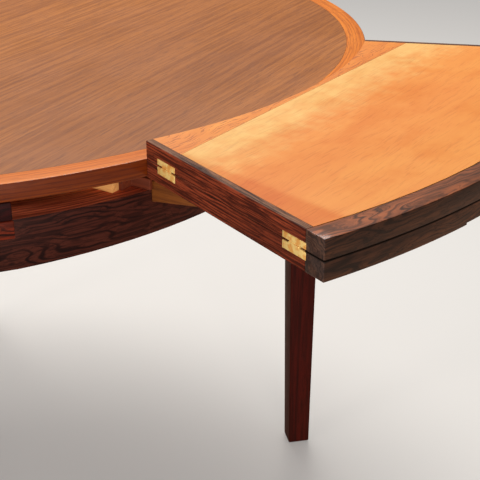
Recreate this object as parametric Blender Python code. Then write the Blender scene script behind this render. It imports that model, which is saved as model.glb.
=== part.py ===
"""Round dining table with four double leaves that draw out from under its top.

Metres, +Z up. Leaf a is drawn out towards -Y, with its upper board folded down on
its lower one. Leaves b, c and d are the same leaf in quarter turns, stored under
the top. Every leaf slides on two bearers whose lower edges climb by the height of
two boards over the leaf's travel, so a drawn leaf ends level with the top.
"""

import math

import bmesh
import bpy
from mathutils import Matrix, Vector

# Driving sizes of the top and the leaves
HEIGHT = 0.745
TOP_RADIUS = 0.600
TOP_THICKNESS = 0.0185
LIPPING_WIDTH = 0.025
BOARD_THICKNESS = 0.0189
SIDE_STRIP_WIDTH = 0.0085
INNER_BAND_WIDTH = 0.0056
ARRIS = 0.001
PULL_DEPTH = 0.012
PULL_HEIGHT = 0.0025

# Driving sizes of the frame
APRON_SETBACK = 0.0825
APRON_THICKNESS = 0.0625
APRON_DEPTH = 0.056
APRON_ARCH = 0.006
ARCH_REACH = 0.290
APRON_HEADROOM = 0.0154
LEG_TOP_WIDTH = 0.0495
LEG_FOOT_WIDTH = 0.035
LEG_HOUSING = 0.004
LEG_ARRIS = 0.0015
CORNER_SIDE_GAP = 0.0145
CORNER_LOWER_EXTRA = 0.001
CORNER_REACH = 0.100
BRIDGE_DROP = 0.0009
BRIDGE_SETBACK = 0.004
BRIDGE_MARGIN = 0.00483
KEEPER_LENGTH = 0.034
KEEPER_SETBACK = 0.001
KEEPER_SPACING = 0.00362
PEG_RADIUS = 0.010
PEG_OFFSET = 0.070
PEG_REACH = 0.010

# Driving sizes of the bearers and their guides
BEARER_THICKNESS = 0.024
BEARER_SPACING = 0.002
BEARER_TIP_SETBACK = 0.080
BEARER_TIP_DEPTH = 0.0314
TAIL_DEPTH = 0.024
TAIL_END_SPACING = 0.004
CROSSING_GAP = 0.003
STEP_SPACING = 0.005
GUIDE_BLOCK_WIDTH = 0.0215
GUIDE_BOARD_THICKNESS = 0.0112
GUIDE_BOARD_SPACING = 0.0045
GUIDE_STRIP_DEPTH = 0.0115
GUIDE_BOARD_SETBACK = 0.0495
GUIDE_BLOCK_SETBACK = 0.0450
CHEEK_SETBACK = 0.0200
CHEEK_WIDTH = 0.0050
RAIL_START = 0.300
RAIL_WIDTH = 0.020

# Driving sizes of the hinges
HINGE_LENGTH = 0.0320
HINGE_INNER_SETBACK = 0.0368
HINGE_OUTER_SETBACK = 0.0394
HINGE_BELOW = 0.0085
HINGE_ABOVE = 0.0070
HINGE_PLATE = 0.0020
KNUCKLE_RADIUS = 0.0012
KNUCKLE_RELIEF = 0.0006
KNUCKLE_LENGTH = 0.0110
END_KNUCKLE_LENGTH = 0.0030
NECK_INSET = 0.0002
NECK_THICKNESS = 0.0007
NECK_OVERLAP = 0.0019
NECK_ROOT = 0.0003
PIN_RADIUS = 0.0005
PIN_OVERLAP = 0.0020

# Clearances and cutting overruns
TOUCH_GAP = 0.0003
RUNNING_GAP = 0.0005
RIM_GAP = 0.001
PEG_GAP = 0.001
NOTCH_OVERRUN = 0.060
CUT_OVERRUN = 0.010

# Counts and angles
LEAF_NAMES = ("a", "b", "c", "d")
DRAWN_LEAF = "a"
RIM_STEPS = 128
PEG_STEPS = 24
KNUCKLE_STEPS = 12
SMOOTH_ANGLE = math.radians(30)
PULL_HALF_ANGLE = math.radians(11)
QUARTER = math.tau / len(LEAF_NAMES)
BOARD_HALF_ANGLE = QUARTER / 4
BOARD_STEPS = RIM_STEPS // 8
CORNER_STEPS = RIM_STEPS // 16
ARCH_STEPS = RIM_STEPS // 8

# Plan of a leaf, at the place where it is drawn out. Stored, its inner corners lie
# just outside the square bridge and its outer corners on the rim.
LEAF_INNER = TOP_RADIUS + RIM_GAP
BRIDGE_HALF = LEAF_INNER * math.sin(BOARD_HALF_ANGLE) + BRIDGE_MARGIN
TRAVEL = LEAF_INNER * math.cos(BOARD_HALF_ANGLE) - BRIDGE_HALF - BRIDGE_SETBACK
RIM_REACH = math.sqrt(TOP_RADIUS ** 2 - (TRAVEL * math.sin(BOARD_HALF_ANGLE)) ** 2)
LEAF_OUTER = TRAVEL * math.cos(BOARD_HALF_ANGLE) + RIM_REACH
STORED_CORNER = LEAF_OUTER * math.cos(BOARD_HALF_ANGLE) - TRAVEL
CORNER_CHORD = (STORED_CORNER - LEAF_OUTER * math.sin(BOARD_HALF_ANGLE)) / math.sqrt(2)
CORNER_HALF_WIDTH = CORNER_CHORD - CORNER_SIDE_GAP

# Plan of the guides and the bearers, as distances from a leaf's centre line
STRIP_START = BRIDGE_HALF - KEEPER_SETBACK - KEEPER_LENGTH - KEEPER_SPACING
STRIP_END = STRIP_START - GUIDE_BOARD_THICKNESS
GUIDE_BOARD_SIDE = STRIP_END - GUIDE_BOARD_SPACING
GUIDE_SIDE = GUIDE_BOARD_SIDE - GUIDE_BOARD_THICKNESS - TOUCH_GAP
HALF_BEARER = BEARER_THICKNESS / 2
GUIDE_HALF_GAP = HALF_BEARER + RUNNING_GAP
BEARER_OFFSET = GUIDE_SIDE - GUIDE_BLOCK_WIDTH - GUIDE_HALF_GAP
LEFT_X = -BEARER_OFFSET
RIGHT_X = BEARER_OFFSET - BEARER_THICKNESS - BEARER_SPACING

# Heights gained by a leaf
RISE = TOP_THICKNESS + RUNNING_GAP + BOARD_THICKNESS + TOUCH_GAP
SLOPE = RISE / TRAVEL

# Heights
TOP_UNDERSIDE = HEIGHT - TOP_THICKNESS
LOWER_BOTTOM = HEIGHT - BOARD_THICKNESS
UPPER_BOTTOM = HEIGHT + TOUCH_GAP
UPPER_TOP = UPPER_BOTTOM + BOARD_THICKNESS
HINGE_HEIGHT = HEIGHT + TOUCH_GAP / 2
STORED_BOTTOM = LOWER_BOTTOM - RISE
APRON_TOP = STORED_BOTTOM - APRON_HEADROOM
APRON_BOTTOM = APRON_TOP - APRON_DEPTH
BRIDGE_TOP = TOP_UNDERSIDE - TOUCH_GAP
BRIDGE_BOTTOM = STORED_BOTTOM - BRIDGE_DROP
GUIDE_TOP = BRIDGE_BOTTOM - TOUCH_GAP
GUIDE_BOTTOM = APRON_BOTTOM + APRON_ARCH
BEARER_TOP = LOWER_BOTTOM - TOUCH_GAP

# Plan of the frame
APRON_OUTER = TOP_RADIUS - APRON_SETBACK
APRON_INNER = APRON_OUTER - APRON_THICKNESS
LEG_SEAT = APRON_OUTER - LEG_HOUSING
LEG_CENTRE = LEG_SEAT + TOUCH_GAP + LEG_TOP_WIDTH / 2
GUIDE_BOARD_FRONT = APRON_OUTER - GUIDE_BOARD_SETBACK
GUIDE_BLOCK_FRONT = APRON_OUTER - GUIDE_BLOCK_SETBACK
CHEEK_FRONT = APRON_OUTER - CHEEK_SETBACK

# Length of the bearers, as distances outward from the table's axis when drawn out
TIP_AT = LEAF_OUTER - BEARER_TIP_SETBACK
TAIL_AT = TRAVEL - (RIGHT_X - HALF_BEARER - TAIL_END_SPACING)
STEP_AT = TRAVEL + BEARER_OFFSET + HALF_BEARER + STEP_SPACING
LEVEL_STEP = TAIL_DEPTH + CROSSING_GAP


def clear_scene():
    """Remove what the scene already holds."""
    for thing in list(bpy.data.objects):
        bpy.data.objects.remove(thing)


def polar(radius, angle):
    """Plan point at an angle from the outward direction, -Y, towards +X."""
    return (radius * math.sin(angle), -radius * math.cos(angle))


def arc(radius, start, end, steps):
    """Plan points along an arc, with both of its ends."""
    return [polar(radius, start + (end - start) * i / steps) for i in range(steps + 1)]


def circle(radius, steps):
    """Plan points of a whole circle."""
    return [polar(radius, math.tau * i / steps) for i in range(steps)]


def rectangle(low_x, low_y, high_x, high_y):
    """Plan points of a rectangle."""
    return [(low_x, low_y), (high_x, low_y), (high_x, high_y), (low_x, high_y)]


def loft(first, second):
    """Closed solid between two loops that have as many points."""
    mesh = bmesh.new()
    lower = [mesh.verts.new(point) for point in first]
    upper = [mesh.verts.new(point) for point in second]
    mesh.faces.new(lower)
    mesh.faces.new(upper)
    for i in range(len(lower)):
        j = (i + 1) % len(lower)
        mesh.faces.new((lower[i], lower[j], upper[j], upper[i]))
    bmesh.ops.recalc_face_normals(mesh, faces=mesh.faces)
    return stored(mesh)


def stored(mesh):
    """Mesh data block of an edit mesh, which is freed."""
    data = bpy.data.meshes.new("solid")
    mesh.to_mesh(data)
    mesh.free()
    return data


def prism(outline, low, high):
    """Upright solid over a plan outline."""
    return loft([(x, y, low) for x, y in outline], [(x, y, high) for x, y in outline])


def rail(profile, low_x, high_x):
    """Solid across X over a profile of outward distances and heights."""
    return loft([(low_x, -d, z) for d, z in profile], [(high_x, -d, z) for d, z in profile])


def rod(radius, start, end, steps):
    """Round rod along X."""
    ring = circle(radius, steps)
    return loft([(start, a, b) for a, b in ring], [(end, a, b) for a, b in ring])


def joined(meshes, matrices):
    """One mesh of several solids, each with its own matrix."""
    whole = bmesh.new()
    for mesh, matrix in zip(meshes, matrices):
        mesh.transform(matrix)
        whole.from_mesh(mesh)
    return stored(whole)


def evaluated(thing):
    """Mesh of an object with its modifiers, after which the object is removed."""
    graph = bpy.context.evaluated_depsgraph_get()
    data = bpy.data.meshes.new_from_object(thing.evaluated_get(graph))
    bpy.data.objects.remove(thing)
    return data


def loose(mesh):
    """Object that carries a mesh while it is being shaped."""
    thing = bpy.data.objects.new("shaping", mesh)
    bpy.context.scene.collection.objects.link(thing)
    return thing


def eased(mesh, width):
    """Mesh with its sharp edges bevelled."""
    thing = loose(mesh)
    bevel = thing.modifiers.new("arris", "BEVEL")
    bevel.width = width
    bevel.segments = 1
    bevel.limit_method = "ANGLE"
    bevel.angle_limit = SMOOTH_ANGLE
    return evaluated(thing)


def combined(mesh, others, operation):
    """Mesh joined with, or cut by, others in the same frame."""
    thing = loose(mesh)
    helpers = []
    for other in others:
        helper = loose(other)
        helper.hide_render = True
        helper.display_type = "WIRE"
        helpers.append(helper)
        boolean = thing.modifiers.new("combine", "BOOLEAN")
        boolean.operation = operation
        boolean.object = helper
    result = evaluated(thing)
    for helper in helpers:
        bpy.data.objects.remove(helper)
    return result


def cut(mesh, *cutters):
    """Mesh with the cutters taken away."""
    return combined(mesh, cutters, "DIFFERENCE")


def fused(mesh, *others):
    """Mesh with the others added to it."""
    return combined(mesh, others, "UNION")


def rounded(mesh):
    """Mesh shaded smooth, except across its corners."""
    mesh.shade_smooth()
    mesh.set_sharp_from_angle(angle=SMOOTH_ANGLE)
    return mesh


def finish(name, colour, roughness, metallic=0.0):
    """Plain surface material."""
    material = bpy.data.materials.new(name)
    material.use_nodes = True
    shader = material.node_tree.nodes["Principled BSDF"]
    shader.inputs["Base Color"].default_value = (*colour, 1.0)
    shader.inputs["Roughness"].default_value = roughness
    shader.inputs["Metallic"].default_value = metallic
    return material


def make_finishes():
    """Every material of the table, by the kind of piece that wears it."""
    return {
        "top_veneer": finish("top_veneer", (0.20, 0.062, 0.030), 0.32),
        "top_lipping": finish("top_lipping", (0.30, 0.10, 0.045), 0.35),
        "leaf_panel": finish("leaf_panel", (0.62, 0.34, 0.17), 0.42),
        "leaf_lipping": finish("leaf_lipping", (0.11, 0.026, 0.016), 0.35),
        "corner_block": finish("corner_block", (0.12, 0.030, 0.018), 0.40),
        "apron": finish("apron", (0.075, 0.020, 0.020), 0.38),
        "leg": finish("leg", (0.12, 0.032, 0.018), 0.40),
        "bridge": finish("bridge", (0.40, 0.24, 0.13), 0.60),
        "bearer": finish("bearer", (0.47, 0.24, 0.055), 0.50),
        "guide_block": finish("guide_block", (0.27, 0.12, 0.05), 0.55),
        "guide_board": finish("guide_board", (0.62, 0.42, 0.25), 0.55),
        "peg": finish("peg", (0.45, 0.28, 0.14), 0.55),
        "brass": finish("brass", (0.72, 0.56, 0.26), 0.30, 1.0),
    }


def anchor(name, parent, location=(0, 0, 0), angle=0.0):
    """Empty that carries pieces."""
    empty = bpy.data.objects.new(name, None)
    bpy.context.scene.collection.objects.link(empty)
    empty.parent = parent
    empty.location = location
    empty.rotation_euler = (0, 0, angle)
    return empty


def add(name, mesh, material, parent, location=(0, 0, 0), angle=0.0):
    """Named piece of the table."""
    if not mesh.materials:
        mesh.materials.append(material)
    piece = bpy.data.objects.new(name, mesh)
    bpy.context.scene.collection.objects.link(piece)
    piece.parent = parent
    piece.location = location
    piece.rotation_euler = (0, 0, angle)
    return piece


def bearing_line(distance):
    """Height of the bearers' lower edge, which slides along itself."""
    return BEARER_TOP - BEARER_TIP_DEPTH - (TIP_AT - distance) * SLOPE


def faceted_inside(radius):
    """Radius that stays clear inside a faceted ring of the given inner radius."""
    return radius * math.cos(math.pi / RIM_STEPS) - TOUCH_GAP


def build_top(finishes, table):
    """The loose round top, its lipping and the pegs that keep it centred."""
    seat = TOP_RADIUS - LIPPING_WIDTH
    panel = prism(circle(seat - TOUCH_GAP, RIM_STEPS), TOP_UNDERSIDE, HEIGHT)
    disc = eased(prism(circle(TOP_RADIUS, RIM_STEPS), TOP_UNDERSIDE, HEIGHT), ARRIS)
    core = prism(circle(seat, RIM_STEPS), TOP_UNDERSIDE - CUT_OVERRUN, HEIGHT + CUT_OVERRUN)
    add("top_panel", rounded(panel), finishes["top_veneer"], table)
    add("top_lipping", rounded(cut(disc, core)), finishes["top_lipping"], table)
    peg = rounded(prism(circle(PEG_RADIUS, PEG_STEPS), BRIDGE_BOTTOM - PEG_REACH, BRIDGE_TOP))
    for name, side in (("peg_left", -1), ("peg_right", 1)):
        add(name, peg, finishes["peg"], table, (side * PEG_OFFSET, 0, 0))


def notch(centre_x):
    """Cutter for the apron's notch over one bearer."""
    near = APRON_INNER - NOTCH_OVERRUN
    far = APRON_OUTER + CUT_OVERRUN
    top = APRON_TOP + CUT_OVERRUN
    floor = [(near, bearing_line(near) - TOUCH_GAP), (far, bearing_line(far) - TOUCH_GAP)]
    profile = floor + [(far, top), (near, top)]
    return rail(profile, centre_x - GUIDE_HALF_GAP, centre_x + GUIDE_HALF_GAP)


def arch():
    """Cutter that hollows the apron's lower edge under one leaf."""
    steps = [2 * i / ARCH_STEPS - 1 for i in range(ARCH_STEPS + 1)]
    curve = [(ARCH_REACH * t, APRON_BOTTOM + APRON_ARCH * (1 - t * t)) for t in steps]
    low = APRON_BOTTOM - CUT_OVERRUN
    section = [(-ARCH_REACH, low)] + curve + [(ARCH_REACH, low)]
    near = math.sqrt(APRON_INNER ** 2 - ARCH_REACH ** 2) - CUT_OVERRUN
    far = APRON_OUTER + CUT_OVERRUN
    return loft([(x, -near, z) for x, z in section], [(x, -far, z) for x, z in section])


def leg_seat():
    """Cutter for the shallow housing of one leg in the apron's outer face."""
    half = LEG_TOP_WIDTH / 2 + TOUCH_GAP
    plan = rectangle(-half, -APRON_OUTER - CUT_OVERRUN, half, -LEG_SEAT)
    return prism(plan, APRON_BOTTOM - CUT_OVERRUN, APRON_TOP + CUT_OVERRUN)


def build_apron(finishes, table):
    """The ring under the top, notched for the bearers, housed for the legs and arched."""
    ring = prism(circle(APRON_OUTER, RIM_STEPS), APRON_BOTTOM, APRON_TOP)
    hollow = prism(circle(APRON_INNER, RIM_STEPS), APRON_BOTTOM - CUT_OVERRUN, APRON_TOP + CUT_OVERRUN)
    arches = []
    cutters = []
    places = []
    for k in range(len(LEAF_NAMES)):
        turn = Matrix.Rotation(QUARTER * k, 4, "Z")
        arches.append(joined([arch()], [turn]))
        cutters += [notch(LEFT_X), notch(RIGHT_X), leg_seat()]
        places += [turn, turn, Matrix.Rotation(QUARTER * (k - 1 / 2), 4, "Z")]
    ring = cut(cut(ring, hollow), joined(cutters, places), *arches)
    add("apron", rounded(ring), finishes["apron"], table)


def corner_outline(half_width):
    """Plan of a corner board, whose sides run parallel to the stored leaves."""
    reach = math.asin(half_width / TOP_RADIUS)
    back = TOP_RADIUS - CORNER_REACH
    depth = TOP_RADIUS * math.cos(reach) - back
    inner = half_width - depth * math.tan(BOARD_HALF_ANGLE)
    return arc(TOP_RADIUS, -reach, reach, CORNER_STEPS) + [(inner, -back), (-inner, -back)]


def build_corners(finishes, table):
    """The legs, each with the two corner boards that it carries."""
    upper_top = TOP_UNDERSIDE - TOUCH_GAP
    upper_bottom = upper_top - BOARD_THICKNESS
    lower_top = upper_bottom - TOUCH_GAP
    lower_bottom = lower_top - BOARD_THICKNESS
    upper = eased(prism(corner_outline(CORNER_HALF_WIDTH), upper_bottom, upper_top), ARRIS)
    wide = corner_outline(CORNER_HALF_WIDTH + CORNER_LOWER_EXTRA)
    lower = eased(prism(wide, lower_bottom, lower_top), ARRIS)
    leg = tapered_leg(lower_bottom - TOUCH_GAP)
    for k in range(len(LEAF_NAMES)):
        turn = QUARTER * (k - 1 / 2)
        x, y = polar(LEG_CENTRE, turn)
        add(f"leg_{k + 1}", leg, finishes["leg"], table, (x, y, 0), turn)
        add(f"corner_upper_{k + 1}", rounded(upper), finishes["corner_block"], table, angle=turn)
        add(f"corner_lower_{k + 1}", rounded(lower), finishes["corner_block"], table, angle=turn)


def tapered_leg(top):
    """Square leg that narrows to its foot."""
    foot = LEG_FOOT_WIDTH / 2
    head = LEG_TOP_WIDTH / 2
    low = [(x, y, 0) for x, y in rectangle(-foot, -foot, foot, foot)]
    high = [(x, y, top) for x, y in rectangle(-head, -head, head, head)]
    return eased(loft(low, high), LEG_ARRIS)


def keeper(centre_x, band_top):
    """Block under the bridge that holds down one bearer's tail."""
    near = BRIDGE_HALF - KEEPER_LENGTH
    far = BRIDGE_HALF - KEEPER_SETBACK
    top = BRIDGE_BOTTOM + CUT_OVERRUN
    lift = band_top + RUNNING_GAP
    floor = [(near, bearing_line(near) + lift), (far, bearing_line(far) + lift)]
    return rail(floor + [(far, top), (near, top)], centre_x - HALF_BEARER, centre_x + HALF_BEARER)


def build_bridge(finishes, table):
    """The centre board that the top lies on, with its keepers and peg holes."""
    half = BRIDGE_HALF
    slab = prism(rectangle(-half, -half, half, half), BRIDGE_BOTTOM, BRIDGE_TOP)
    turns = [Matrix.Rotation(QUARTER * k, 4, "Z") for k in range(len(LEAF_NAMES))]
    kinds = ((LEFT_X, TAIL_DEPTH), (RIGHT_X, LEVEL_STEP + TAIL_DEPTH))
    keepers = [keeper(*kind) for _ in turns for kind in kinds]
    places = [turn for turn in turns for _ in kinds]
    slab = fused(slab, joined(keepers, places))
    bore = circle(PEG_RADIUS + PEG_GAP, PEG_STEPS)
    bores = [prism(bore, BRIDGE_BOTTOM - CUT_OVERRUN, BRIDGE_TOP + CUT_OVERRUN) for _ in (-1, 1)]
    offsets = [Matrix.Translation((side * PEG_OFFSET, 0, 0)) for side in (-1, 1)]
    add("bridge", cut(slab, joined(bores, offsets)), finishes["bridge"], table)


def guide_plank(low_x, high_x, reach, end):
    """Upright plank behind the apron, whose upper part reaches out over the apron's top."""
    back = math.sqrt(faceted_inside(APRON_INNER) ** 2 - max(low_x ** 2, high_x ** 2))
    seat = APRON_TOP + TOUCH_GAP
    front = [(back, GUIDE_BOTTOM), (back, seat), (reach, seat), (reach, GUIDE_TOP)]
    return rail(front + [(end, GUIDE_TOP), (end, GUIDE_BOTTOM)], low_x, high_x)


def guide_cheek(low_x):
    """Cheek beside a bearer, on the apron's top, in front of a guide block."""
    seat = APRON_TOP + TOUCH_GAP
    back = GUIDE_BLOCK_FRONT - 2 * ARRIS
    outline = [(back, seat), (CHEEK_FRONT, seat), (CHEEK_FRONT, GUIDE_TOP - ARRIS), (back, GUIDE_TOP - ARRIS)]
    return rail(outline, low_x, low_x + CHEEK_WIDTH)


def guide_block_mesh():
    """Blocks on both sides of both bearers, on a rail that runs below them."""
    end = STRIP_START + TOUCH_GAP
    gap = GUIDE_HALF_GAP
    sides = (
        (-GUIDE_SIDE, LEFT_X - gap),
        (LEFT_X + gap, LEFT_X + gap + GUIDE_BLOCK_WIDTH),
        (RIGHT_X - gap - GUIDE_BLOCK_WIDTH, RIGHT_X - gap),
        (RIGHT_X + gap, GUIDE_SIDE),
    )
    blocks = [guide_plank(*side, GUIDE_BLOCK_FRONT, end) for side in sides]
    cheeks = [guide_cheek(LEFT_X - gap - CHEEK_WIDTH), guide_cheek(RIGHT_X + gap)]
    shelf = rectangle(LEFT_X - gap - ARRIS, -RAIL_START - RAIL_WIDTH, RIGHT_X + gap + ARRIS, -RAIL_START)
    top = bearing_line(RAIL_START) - RUNNING_GAP
    body = fused(prism(shelf, GUIDE_BOTTOM + ARRIS, top), joined(blocks, [Matrix()] * len(blocks)))
    return fused(body, joined(cheeks, [Matrix()] * len(cheeks)))


def guide_board_mesh():
    """Thin boards outside the blocks, tied by a strip under the bridge."""
    low = GUIDE_SIDE + TOUCH_GAP
    sides = ((-GUIDE_BOARD_SIDE, -low), (low, GUIDE_BOARD_SIDE))
    boards = [guide_plank(*side, GUIDE_BOARD_FRONT, STRIP_END) for side in sides]
    tie = rectangle(-low - ARRIS, -STRIP_START, low + ARRIS, -STRIP_END - ARRIS)
    strip = prism(tie, GUIDE_TOP - GUIDE_STRIP_DEPTH, GUIDE_TOP - ARRIS)
    return fused(strip, joined(boards, [Matrix()] * len(boards)))


def build_guides(finishes, table):
    """The fixed guides of each leaf's bearers."""
    blocks = guide_block_mesh()
    boards = guide_board_mesh()
    for k, name in enumerate(LEAF_NAMES):
        add(f"bearer_guide_{name}", blocks, finishes["guide_block"], table, angle=QUARTER * k)
        add(f"guide_board_{name}", boards, finishes["guide_board"], table, angle=QUARTER * k)


def board_outline():
    """Plan of a leaf board, a little inside its own sector."""
    outer = BOARD_HALF_ANGLE - math.asin(RUNNING_GAP / LEAF_OUTER)
    inner = BOARD_HALF_ANGLE - math.asin(RUNNING_GAP / LEAF_INNER)
    return arc(LEAF_OUTER, -outer, outer, BOARD_STEPS) + arc(LEAF_INNER, inner, -inner, BOARD_STEPS)


def panel_outline(margin):
    """Plan of the panel inside a board's lipping, drawn in by a margin."""
    radius = LEAF_OUTER - LIPPING_WIDTH - margin
    side = SIDE_STRIP_WIDTH + margin
    near = LEAF_INNER + INNER_BAND_WIDTH + margin
    sweep = BOARD_HALF_ANGLE - math.asin(side / radius)
    corner = near * math.tan(BOARD_HALF_ANGLE) - side / math.cos(BOARD_HALF_ANGLE)
    return arc(radius, -sweep, sweep, BOARD_STEPS) + [(corner, -near), (-corner, -near)]


def hinge_place(radius):
    """Matrix of a hinge's own frame: X outward on its axis, Y into the board."""
    x, y = polar(radius, -BOARD_HALF_ANGLE)
    turn = Matrix.Rotation(math.atan2(y, x), 4, "Z")
    return Matrix.Translation((x, y, HINGE_HEIGHT)) @ turn


def hinge_places():
    """Places of the two hinges of a leaf."""
    inner = LEAF_INNER + HINGE_INNER_SETBACK
    return (hinge_place(inner), hinge_place(LEAF_OUTER - HINGE_OUTER_SETBACK))


def pocket():
    """Cutter for the recess of one hinge, through both boards."""
    half = HINGE_LENGTH / 2 + TOUCH_GAP
    plan = rectangle(-half, -RIM_GAP, half, RUNNING_GAP + HINGE_PLATE + TOUCH_GAP)
    return prism(plan, -HINGE_BELOW - TOUCH_GAP, HINGE_ABOVE + TOUCH_GAP)


def finger_pull():
    """Cutter for the shallow step under a lower board's front edge."""
    sweep = PULL_HALF_ANGLE
    outer = arc(LEAF_OUTER + CUT_OVERRUN, -sweep, sweep, CORNER_STEPS)
    inner = arc(LEAF_OUTER - PULL_DEPTH, sweep, -sweep, CORNER_STEPS)
    return prism(outer + inner, LOWER_BOTTOM - CUT_OVERRUN, LOWER_BOTTOM + PULL_HEIGHT)


def lipping(low, high, *cutters):
    """Frame of edging strips round one leaf panel."""
    blank = eased(prism(board_outline(), low, high), ARRIS)
    core = prism(panel_outline(0), low - CUT_OVERRUN, high + CUT_OVERRUN)
    pockets = joined([pocket(), pocket()], hinge_places())
    return rounded(cut(blank, core, pockets, *cutters))


def bearer(band_bottom, band_top, centre_x):
    """Bearer whose tail runs in a band above the bearing line."""
    tip = bearing_line(TIP_AT)
    tail = bearing_line(TAIL_AT)
    profile = [(LEAF_INNER, BEARER_TOP), (TIP_AT, BEARER_TOP), (TIP_AT, tip)]
    if band_bottom > 0:
        step = bearing_line(STEP_AT)
        profile += [(STEP_AT, step), (STEP_AT, step + band_bottom)]
    profile += [(TAIL_AT, tail + band_bottom), (TAIL_AT, tail + band_top)]
    profile.append((LEAF_INNER, bearing_line(LEAF_INNER) + band_top))
    return rail(profile, centre_x - HALF_BEARER, centre_x + HALF_BEARER)


def plate(low, high):
    """Flat hinge plate, let into a board's side."""
    half = HINGE_LENGTH / 2
    return prism(rectangle(-half, RUNNING_GAP, half, RUNNING_GAP + HINGE_PLATE), low, high)


def neck(start, end, side):
    """Strip from a knuckle to its plate, below or above the axis."""
    face = RUNNING_GAP + NECK_INSET
    reach = KNUCKLE_RADIUS + KNUCKLE_RELIEF + NECK_OVERLAP
    low, high = sorted((side * NECK_ROOT, side * reach))
    return prism(rectangle(start, face, end, face + NECK_THICKNESS), low, high)


def knuckle(start, end):
    """Round knuckle on the hinge's axis."""
    return rod(KNUCKLE_RADIUS, start, end, KNUCKLE_STEPS)


def lower_hinge():
    """Lower plate with the middle knuckle, bored for the pin."""
    half = KNUCKLE_LENGTH / 2
    edge = KNUCKLE_RADIUS + KNUCKLE_RELIEF
    body = fused(plate(-HINGE_BELOW, -edge), neck(-half, half, -1), knuckle(-half, half))
    bore = rod(PIN_RADIUS + TOUCH_GAP, -half - CUT_OVERRUN, half + CUT_OVERRUN, KNUCKLE_STEPS)
    return cut(body, bore)


def upper_hinge():
    """Upper plate with the end knuckles and the pin that joins them."""
    start = KNUCKLE_LENGTH / 2 + TOUCH_GAP
    end = start + END_KNUCKLE_LENGTH
    edge = KNUCKLE_RADIUS + KNUCKLE_RELIEF
    body = plate(edge, HINGE_ABOVE)
    pin = rod(PIN_RADIUS, -start - PIN_OVERLAP, start + PIN_OVERLAP, KNUCKLE_STEPS)
    for low, high in ((-end, -start), (start, end)):
        body = fused(body, neck(low, high, 1), knuckle(low, high))
    return fused(body, pin)


def folded_hinge():
    """Whole hinge of a stored leaf, closed."""
    half = KNUCKLE_LENGTH / 2
    edge = KNUCKLE_RADIUS + KNUCKLE_RELIEF
    body = fused(knuckle(-half, half), neck(-half, half, -1), neck(-half, half, 1))
    return fused(body, plate(-HINGE_BELOW, -edge), plate(edge, HINGE_ABOVE))


def leaf_meshes():
    """Meshes shared by the leaves, in the frame of a leaf drawn out to -Y."""
    margin = panel_outline(TOUCH_GAP)
    return {
        "lower_panel": rounded(prism(margin, LOWER_BOTTOM, HEIGHT)),
        "lower_lipping": lipping(LOWER_BOTTOM, HEIGHT, finger_pull()),
        "upper_panel": rounded(prism(margin, UPPER_BOTTOM, UPPER_TOP)),
        "upper_lipping": lipping(UPPER_BOTTOM, UPPER_TOP),
        "bearer_left": bearer(0, TAIL_DEPTH, LEFT_X),
        "bearer_right": bearer(LEVEL_STEP, LEVEL_STEP + TAIL_DEPTH, RIGHT_X),
    }


LEAF_FINISHES = {
    "lower_panel": "leaf_panel",
    "lower_lipping": "leaf_lipping",
    "upper_panel": "leaf_panel",
    "upper_lipping": "leaf_lipping",
    "bearer_left": "bearer",
    "bearer_right": "bearer",
}


def add_hinges(name, kind, mesh, material, parent, shift):
    """The two hinges, or hinge halves, of one leaf."""
    for number, place in enumerate(hinge_places(), start=1):
        piece = add(f"leaf_{name}_{kind}_{number}", mesh, material, parent)
        piece.location = place.translation - shift
        piece.rotation_euler = place.to_euler()


def build_leaf(name, meshes, hinges, finishes, table):
    """One leaf, drawn out or stored."""
    turn = QUARTER * LEAF_NAMES.index(name)
    drawn = name == DRAWN_LEAF
    place = Matrix.Rotation(turn, 3, "Z") @ Vector((0, 0 if drawn else TRAVEL, 0 if drawn else -RISE))
    leaf = anchor(f"leaf_{name}", table, place, turn)
    pivot = hinge_places()[0].translation
    flap = anchor(f"leaf_{name}_flap", leaf, pivot)
    for kind, mesh in meshes.items():
        above = kind.startswith("upper")
        carrier, shift = (flap, -pivot) if above else (leaf, Vector())
        add(f"leaf_{name}_{kind}", mesh, finishes[LEAF_FINISHES[kind]], carrier, shift)
    if drawn:
        add_hinges(name, "hinge_lower", hinges["lower"], finishes["brass"], leaf, Vector())
        add_hinges(name, "hinge_upper", hinges["upper"], finishes["brass"], flap, pivot)
    else:
        add_hinges(name, "hinge", hinges["folded"], finishes["brass"], leaf, Vector())


def main():
    """Build the table with its origin under the middle of its whole length."""
    clear_scene()
    finishes = make_finishes()
    table = anchor("table", None, (0, (LEAF_OUTER - TOP_RADIUS) / 2, 0))
    build_top(finishes, table)
    build_apron(finishes, table)
    build_corners(finishes, table)
    build_bridge(finishes, table)
    build_guides(finishes, table)
    meshes = leaf_meshes()
    hinges = {"lower": lower_hinge(), "upper": upper_hinge(), "folded": folded_hinge()}
    for name in LEAF_NAMES:
        build_leaf(name, meshes, hinges, finishes, table)


main()
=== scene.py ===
"""Looks of a round dining table with four double leaves that draw out from under its top.

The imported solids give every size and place. The curved and the visible pieces are
modelled again here with soft arrises, in the same places, and every piece gets a
wood or brass finish made of shader nodes.
"""

import logging
import math
from collections.abc import Callable, Sequence
from dataclasses import dataclass, field
from enum import Enum

import bmesh
import bpy
from mathutils import Euler, Matrix, Vector


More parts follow.
